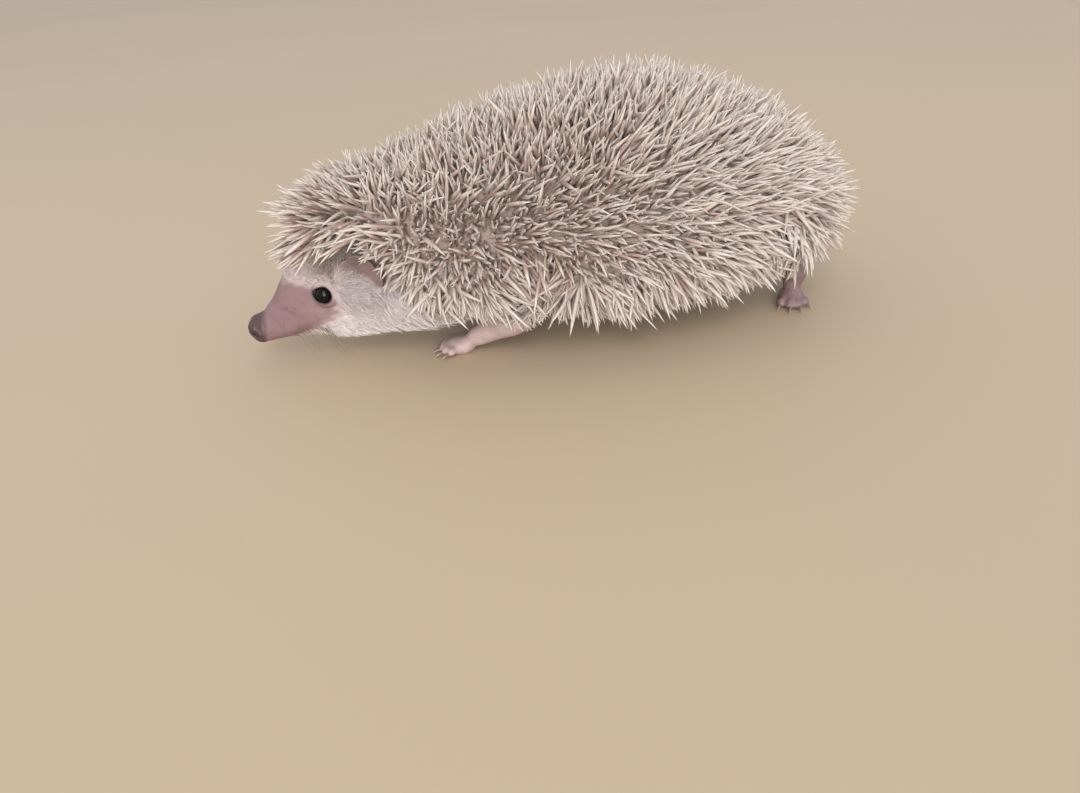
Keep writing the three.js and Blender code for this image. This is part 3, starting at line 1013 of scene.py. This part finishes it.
def spaced(points, gap):
    """Indices of points no nearer to each other than their gap, taken in their own order."""
    cell_size = float(gap.max())
    cells = np.floor(points / cell_size).astype(int).tolist()
    plain, gaps = points.tolist(), gap.tolist()
    kept, boxes = [], {}
    around = [(i, j, k) for i in (-1, 0, 1) for j in (-1, 0, 1) for k in (-1, 0, 1)]
    for index, ((x, y, z), (i, j, k)) in enumerate(zip(plain, cells)):
        limit = gaps[index] ** 2
        clear = True
        for di, dj, dk in around:
            for u, v, w in boxes.get((i + di, j + dj, k + dk), ()):
                if (u - x) ** 2 + (v - y) ** 2 + (w - z) ** 2 < limit:
                    clear = False
                    break
            if not clear:
                break
        if clear:
            boxes.setdefault((i, j, k), []).append((x, y, z))
            kept.append(index)
    return np.array(kept)


def tangent(direction, normal):
    return unit(direction - normal * (direction * normal).sum(1, keepdims=True))


def turned(vectors, axis, angle):
    """Each vector turned about its axis by its angle."""
    c, s = np.cos(angle)[:, None], np.sin(angle)[:, None]
    along_axis = axis * (axis * vectors).sum(1, keepdims=True)
    return vectors * c + np.cross(axis, vectors) * s + along_axis * (1 - c)


# ---- Quills ----

QUILL_GAP = 1.02
CANDIDATES = 90000
SUNK = 0.5
# The largest sine of a quill's tilt.
FLATTEST = 0.92

LEAN_Y = [-80, -64, -56, -46, -30, -5, 40, 100]
LEAN_BACK = [-0.55, -0.4, -0.2, 0.14, 0.24, 0.28, 0.38, 0.4]
LEAN_Z = [9, 18, 27, 40, 56]
LEAN_UP = [-0.8, -0.55, -0.16, 0.0, 0.05]


def quill_lie(points):
    """Which way the quills lean; the vector's length is the sine of their tilt from standing."""
    _, y, z = points.T
    along = np.interp(y, LEAN_Y, LEAN_BACK)
    along *= np.interp(z, [50, 66], [1.0, 0.35])
    down = np.interp(z, LEAN_Z, LEAN_UP)
    down = down - 0.45 * bump(y, 72, 13) * ramp(z, 30, 17)
    rear = ramp(y, 58, 88)
    along = along * (1 - rear) + 0.12 * rear
    down = down * (1 - rear) + np.minimum(down, -0.2) * rear
    return np.stack([0 * y, along, down], 1)


def swirls(points, count, spread):
    """Smooth random leans: the quills stand in tufts that lean their own way."""
    places = skin_points[rng.integers(0, len(skin_points), count)]
    ways = rng.normal(0, 1, (count, 3))
    total = np.zeros_like(points)
    for place, way in zip(places, ways):
        away = ((points - place) ** 2).sum(1) / spread**2
        total += np.exp(-away)[:, None] * way
    return total


def quill_roots():
    """Where the quills grow: above the rim, evenly spaced, and closer along the partings."""
    centre = skin_points[skin_triangles].mean(axis=1)
    _, y, z = centre.T
    lowest = 0.8 - 1.8 * ramp(y, -58, -70) + 3.0 * bump(y, 76, 12)
    bearing = (z - rim_height(y) > lowest) & (y > -84)
    roots = scattered(skin_triangles, skin_points, bearing.astype(float), CANDIDATES)
    normal = skin_normal(roots)
    _, y, z = roots.T
    parting = np.maximum(bump(y, -25, 24) * bump(z, 36, 10), bump(y, -54, 8))
    kept = spaced(roots, QUILL_GAP - 0.15 * parting)
    return roots[kept], normal[kept]


def quill_directions(roots, normal):
    """Leaning with the coat's lie and at random; over the brow they turn into a level visor."""
    count = len(roots)
    _, y, z = roots.T
    unruly = 0.25 + 0.16 * bump(y, -51, 14)
    lie = quill_lie(roots) + 0.24 * swirls(roots, 480, 3.8)
    lie = lie + rng.normal(0, 1, (count, 3)) * unruly[:, None]
    # Behind the head they stand from the coat's smoother outer surface as much as from the skin.
    outer = slope_of(coat_surface_soft.at, roots, 1.0)
    stand = unit(normal + 1.5 * ramp(y, -62, -48)[:, None] * outer)
    lean = lie - stand * (lie * stand).sum(1, keepdims=True)
    sine = np.linalg.norm(lean, axis=1, keepdims=True)
    lean = lean * np.minimum(1, FLATTEST / np.maximum(sine, 1e-6))
    sine = np.minimum(sine, FLATTEST)
    direction = unit(stand * np.sqrt(1 - sine**2) + lean)
    visor = ramp(y, -62, -75)[:, None]
    level = np.stack([0.9 * normal[:, 0], -1.0 + 0 * y, 1.1 * ramp(z, 37, 50) - 0.4], 1)
    level = unit(level + rng.normal(0, 0.25, (count, 3)))
    return unit(direction * (1 - visor) + level * visor)


def reach_of_coat(roots, direction):
    """How far it is along each quill to the coat's outer surface.

    Over the brow and ears the surface turns under the quills, so there the search looks at its
    level part and stops at the rim.
    """
    over_face = ramp(roots[:, 1], -34, -46) > 0.5
    reach = np.zeros(len(roots))
    for _ in range(24):
        probe = roots + direction * reach[:, None]
        above_rim = probe[:, 2] - rim_height(probe[:, 1]) + 1.2
        probe[:, 2] = np.where(over_face, np.maximum(probe[:, 2], 44), probe[:, 2])
        room = np.minimum(-coat_surface.at(probe), 1.3 * above_rim)
        reach = np.clip(reach + np.clip(room, -2, 3) * 0.8, 0, 26)
    return reach


def quill_lengths(roots, direction, reach):
    """Mostly out to the coat's surface, some shorter, a few longer, and hanging at the skirt."""
    count = len(roots)
    _, y, z = roots.T
    share = np.where(rng.random(count) < 0.35, rng.uniform(0.55, 0.85, count), rng.normal(0.98, 0.09, count))
    share = np.where(rng.random(count) < 0.12, rng.uniform(1.1, 1.35, count), share)
    length = np.clip(reach, 8.0, 16.0) * np.clip(share, 0.55, 1.35)
    skirt = ramp(z - rim_height(y), 14, 3) * ramp(y, -46, -30)
    length += skirt * (rng.uniform(0.5, 6.0, count) + 1.5 * bump(y, 12, 30))
    tips = roots + direction * length[:, None]
    hang = np.interp(tips[:, 1], HANG_Y, HANG_Z) + rng.uniform(-0.8, 3.2, count)
    falling = (direction[:, 2] < -0.1) & (tips[:, 2] < hang) & (y > -50)
    longest = (hang - z) / np.minimum(direction[:, 2], -0.1)
    return np.where(falling, np.clip(longest, 4.0, length), length)


def make_quills():
    roots, normal = quill_roots()
    direction = quill_directions(roots, normal)
    reach = reach_of_coat(roots, direction)
    tips = roots + direction * reach[:, None]
    _, y, z = roots.T
    shortest = np.where(y > -32, 1.5, 6.5)
    shortest[(y > 55) | ((y > -45) & (z < 24))] = -1.0
    usable = (reach > shortest) & (tips[:, 2] > 3.0)
    roots, normal, direction, reach = (part[usable] for part in (roots, normal, direction, reach))
    count = len(roots)
    length = quill_lengths(roots, direction, reach)

    share = np.array([0.0, 0.04, 0.25, 0.5, 0.7, 0.86, 1.0])
    girth = np.array([0.0, 0.5, 0.86, 1.0, 0.74, 0.38, 0.0])
    bend_way = unit(np.cross(direction, rng.normal(size=(count, 3))))
    bend = rng.normal(0, 0.03, count) * length
    arc = 4 * share * (1 - share)
    paths = straight_paths(roots - normal * SUNK, direction, length, share)
    paths = paths + bend_way[:, None, :] * (bend[:, None] * arc)[..., None]
    thick = rng.uniform(0.56, 0.74, count) * np.clip(length / 13, 0.84, 1.05)
    radii = thick[:, None] * girth

    _, y, z = roots.T
    front_share = ramp(y, 45, 0) * ramp(z, 20, 34)
    low = ramp(z - rim_height(y), 22, 7)
    crown = ramp(y, -44, -60) * ramp(z, 28, 38)
    dark = 0.34 + 0.42 * front_share + 0.18 * crown - 0.5 * low * (1 - crown)
    dark = np.clip(dark + rng.normal(0, 0.2, count), 0.03, 1)
    extra = {
        "tone": np.clip(rng.normal(0.55, 0.2, count) + 0.12 * (1 - front_share), 0, 1),
        "shift": rng.normal(0.0, 0.06, count) + 0.05 * (1 - front_share),
        "dark": dark,
    }
    crown_part, shoulders, back, rump = parts_of(np.argsort(y), 4)
    groups = [("quills_crown", crown_part), ("quills_back", back), ("quills_rump", rump)]
    groups.append(("quills_shoulders", shoulders))
    pieces = strand_pieces(groups, paths, radii, 5, bend_way, QUILL, extra=extra)
    for piece, node in zip(pieces, MANTLE):
        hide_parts(node)


# ---- Fur ----


def fur_lie(points):
    """Which way the hairs point: back from the nose, down the flanks, back along the belly."""
    x, y, z = points.T
    side = np.sign(x)
    head = np.stack([0.15 * side, 1.0 + 0 * y, -0.25 + 0.5 * ramp(z, 24, 34)], 1)
    throat = np.stack([0.2 * side, 0.75 + 0 * y, -0.75 + 0 * y], 1)
    body = np.stack([0.1 * side, 0.6 + 0 * y, -0.8 + 0 * y], 1)
    neck = ramp(y, -66, -52)[:, None]
    trunk = ramp(y, -46, -30)[:, None]
    return (head * (1 - neck) + throat * neck) * (1 - trunk) + body * trunk


def fur_length(points):
    _, y, z = points.T
    left = mirrored(points)
    face = 2.2 + 1.6 * ramp(y, -80, -70) + 2.6 * ramp(y, -62, -50)
    _, _, _, from_eye = eye_frame(left)
    face = face * (0.45 + 0.55 * ramp(from_eye, 3.8, 8.0))
    face = face * (1 - 0.55 * blob(left, (14.5, -68.0, 34.0), (5.0, 2.5, 6.0)))
    body = (5.5 + 2.5 * ramp(z, 8, 20)) * (1 - 0.6 * ramp(limbs.at(points), 4.5, 1.5))
    length = np.where(y < -50, face, body)
    bare = furless(points)
    return length * (1 - bare) + 1.0 * bare


def make_fur():
    centre = skin_points[skin_triangles].mean(axis=1)
    y, z = centre[:, 1], centre[:, 2]
    bare = furless(centre)
    above_rim = z - rim_height(y)
    under = ramp(above_rim, 10, 4)
    face = 8.5 * ramp(y, -56, -64)
    neck = 6.0 * ramp(y, -64, -56) * ramp(y, -18, -30)
    trunk = (1.4 + 1.0 * ramp(z, 12, 17)) * ramp(y, -30, -18)
    weight = (face + neck + trunk) * under * (1 - bare) + 0.03 * bare
    left = mirrored(centre)
    out, back, up, from_eye = eye_frame(left)
    weight *= ramp(np.where(out > 0.5, eye_opening(back, up), 9.0), 1.0, 2.8)
    weight *= ramp(z, 1.2, 2.0)
    weight *= 1 - hollow_shade(centre)
    weight[y < NOSE[1] + 1.5] = 0
    total = int((areas_of(skin_triangles, skin_points) * weight).sum())
    roots = scattered(skin_triangles, skin_points, weight, total)
    normal = skin_normal(roots)
    lean = tangent(fur_lie(roots), normal)
    lean = turned(lean, normal, np.radians(rng.normal(0, 13, total)))
    length = fur_length(roots) * rng.uniform(0.75, 1.2, total)
    bare = furless(roots)

    stations = 5
    share = np.array([0.0, 0.08, 0.42, 0.75, 1.0])
    lift = (0.06 + 0.1 * rng.random(total) + 0.35 * (rng.random(total) < 0.1)) * length
    path = straight_paths(roots, lean, length, share)
    height = -0.25 + (0.25 + lift)[:, None] * (1 - (1 - share) ** 2)
    flat_path = path.reshape(-1, 3)
    flat_height = height.reshape(-1)
    for _ in range(2):
        miss = skin_distance(flat_path) - flat_height
        flat_path = flat_path - skin_normal(flat_path) * np.clip(miss, -1.5, 1.5)[:, None]
    flat_path[:, 2] = np.maximum(flat_path[:, 2], 0.3)
    path = flat_path.reshape(total, stations, 3)

    thick = (0.07 + 0.01 * length) * rng.uniform(0.8, 1.2, total) * (1 - 0.4 * bare)
    girth = np.array([0.0, 1.0, 0.95, 0.6, 0.0])
    colour = fur_colour(roots) * rng.uniform(0.9, 1.06, total)[:, None]
    colour = mixed(colour, PALE_PINK, 0.9 * bare)
    names = ["fur_face", "fur_cheeks", "fur_neck", "fur_chest", "fur_belly", "fur_haunches"]
    groups = zip(names, parts_of(np.argsort(roots[:, 1]), len(names)))
    radii = thick[:, None] * girth
    across = np.cross(lean, normal)
    strand_pieces(groups, path, radii, 3, across, FUR, flat=0.6, extra={"marking_and_shade": colour})


def make_whiskers():
    """Sparse fine whiskers on the lips and at the mouth's corner."""
    per_side = 22
    rows = []
    for side in (1, -1):
        spread = rng.random((per_side, 2))
        y = -87 + 11 * spread[:, 0]
        z = 9.0 + 5.0 * spread[:, 1] ** 1.5
        guess = np.stack([side * (7 + 0.35 * (y + 92)), y, z], 1)
        rows.append(on_skin(guess, rounds=8, most=1.5))
    roots = np.concatenate(rows)
    count = len(roots)
    normal = skin_normal(roots)
    back = np.array([0.0, 1.0, -0.55])
    direction = unit(normal * rng.uniform(0.5, 0.9, (count, 1)) + back + 0.12 * rng.normal(size=(count, 3)))
    length = rng.uniform(5, 13, count)
    share = np.array([0.0, 0.03, 0.3, 0.55, 0.8, 1.0])
    droop = np.array([0.0, 0.0, -1.0])
    sag = rng.uniform(0.1, 0.5, count)[:, None] * length[:, None] * share**2
    paths = straight_paths(roots - normal * 0.2, direction, length, share) + droop * sag[..., None]
    paths[..., 2] = np.maximum(paths[..., 2], 0.3)
    girth = np.array([0.0, 1.0, 0.9, 0.7, 0.45, 0.0])
    radii = rng.uniform(0.05, 0.08, count)[:, None] * girth
    colour = mixed(BROWN_FUR, WHISKER, rng.uniform(0.3, 1.0, count))
    mesh = strand_mesh("whiskers", paths, radii, 4, np.cross(direction, normal), extra={"marking_and_shade": colour})
    new_piece("whiskers", mesh, FUR)


# ---- Eyes and claws ----

CORNEA_BULGE = 0.035
# How far a claw's root is sunk in its toe.
CLAW_ROOT = 0.9


def make_eye(node):
    """A ball with the clear front bulging a little, wet and black."""
    centre = middle_of(node)
    side = np.sign(centre[0])
    axis = EYE_OUT * (side, 1, 1)
    across = EYE_BACK * (side, 1, 1)
    up = np.cross(axis, across)
    rows, columns = 24, 40
    lean = np.linspace(0, math.pi, rows + 2)[1:-1]
    turn = np.arange(columns) * (2 * math.pi / columns)
    bulge = 1 + CORNEA_BULGE * bump(lean, 0, 0.5)
    out = (EYE_RADIUS * bulge * np.cos(lean))[:, None, None] * axis
    ring = np.cos(turn)[:, None] * across + np.sin(turn)[:, None] * up
    body = out + (EYE_RADIUS * bulge * np.sin(lean))[:, None, None] * ring
    front, rear = axis * EYE_RADIUS * (1 + CORNEA_BULGE), -axis * EYE_RADIUS
    points = np.concatenate([[front], body.reshape(-1, 3), [rear]]) + centre
    mesh = new_mesh(node + "_ball", points, ring_triangles(rows, columns)[:, ::-1])
    offset = unit(points - centre) @ axis
    give(mesh, "across", 1 - np.clip(offset, 0, 1))
    piece = new_piece(node + "_ball", mesh, EYE_GLOSS)
    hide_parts(node)


def make_claws(paw):
    """The curved claws of one paw, each from its CAD claw's own base and point."""
    nodes = sorted(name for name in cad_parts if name.startswith(paw + "_claw_"))
    paw_middle = middle_of(paw)
    stations, sides = 10, 12
    share = np.linspace(0, 1, stations)
    paths, radii, acrosses = [], [], []
    for node in nodes:
        corners, _ = solids_of([node])
        away = lengths((corners - paw_middle)[:, :2])
        tip = corners[away.argmax()]
        base = corners[away < away.min() + 0.5].mean(axis=0)
        out = unit((tip - base) * (1, 1, 0))
        length = (tip - base) @ out
        base = base - out * CLAW_ROOT
        base[2] = 1.3
        grown = length + CLAW_ROOT
        arch = 0.45 * np.sin(share * math.pi * 0.8) - 0.95 * share**2
        path = base + out * (grown * share)[:, None] + np.array([0, 0, 1.0]) * arch[:, None]
        path[:, 2] = np.maximum(path[:, 2], 0.28)
        girth = 0.62 * np.sqrt(np.clip(1 - share**2.2, 0, 1)) * (1 - 0.45 * share)
        girth[[0, -1]] = 0
        paths.append(path)
        radii.append(girth)
        acrosses.append(np.cross(out, (0, 0, 1)))
    paths, radii, acrosses = np.array(paths), np.array(radii), np.array(acrosses)
    mesh = strand_mesh(paw + "_claws", paths, radii, sides, acrosses, flat=1.15)
    piece = new_piece(paw + "_claws", mesh, CLAW)
    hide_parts(*nodes)


make_quills()
make_fur()
make_whiskers()
for eye in EYES:
    make_eye(eye)
for paw in PAWS:
    make_claws(paw)

# ---- Floor, light and camera ----


def make_floor():
    half = 9.0
    mesh = bpy.data.meshes.new("floor")
    corners = [(-half, -half, 0), (half, -half, 0), (half, half, 0), (-half, half, 0)]
    mesh.from_pydata(corners, [], [(0, 1, 2, 3)])
    mesh.materials.append(floor_material())
    new_object("floor", mesh)


def make_light(name, place, size, power, colour):
    """A square soft light aimed at the animal's middle."""
    data = bpy.data.lights.new(name, "AREA")
    data.size = size
    data.energy = power
    data.color = colour
    light = new_object(name, data)
    light.location = place
    light.rotation_mode = "QUATERNION"
    light.rotation_quaternion = (Vector(place) - Vector((0, 0, 0.03))).to_track_quat("Z", "Y")


def make_world():
    world = bpy.data.worlds.new("studio")
    world.use_nodes = True
    back = world.node_tree.nodes["Background"]
    back.inputs["Color"].default_value = (0.98, 0.99, 1.0, 1.0)
    back.inputs["Strength"].default_value = 0.87
    bpy.context.scene.world = world


CAMERA_AT = (0.2373, -0.04465, 0.116)
PITCH, HEADING, ROLL = math.radians(31.52), math.radians(8.5), math.radians(4.75)


def make_camera():
    level = Vector((-math.cos(HEADING), math.sin(HEADING), 0))
    right = Vector((math.sin(HEADING), math.cos(HEADING), 0))
    up = Vector((0, 0, math.cos(PITCH))) + level * math.sin(PITCH)
    rolled_right = right * math.cos(ROLL) - up * math.sin(ROLL)
    rolled_up = up * math.cos(ROLL) + right * math.sin(ROLL)
    turn = Matrix((rolled_right, rolled_up, rolled_right.cross(rolled_up))).transposed()
    data = bpy.data.cameras.new("camera")
    data.lens = 26
    data.sensor_width = 36
    data.clip_start, data.clip_end = 0.01, 40
    camera = new_object("camera", data)
    camera.matrix_world = Matrix.Translation(CAMERA_AT) @ turn.to_4x4()
    bpy.context.scene.camera = camera


make_floor()
make_world()
make_light("window", (1.4, -0.4, 1.35), 0.8, 13.0, (0.98, 0.99, 1.0))
make_light("low fill", (3.4, -0.6, 0.85), 1.8, 98.0, (1.0, 0.985, 0.975))
make_camera()
bpy.context.scene.view_settings.view_transform = "Standard"
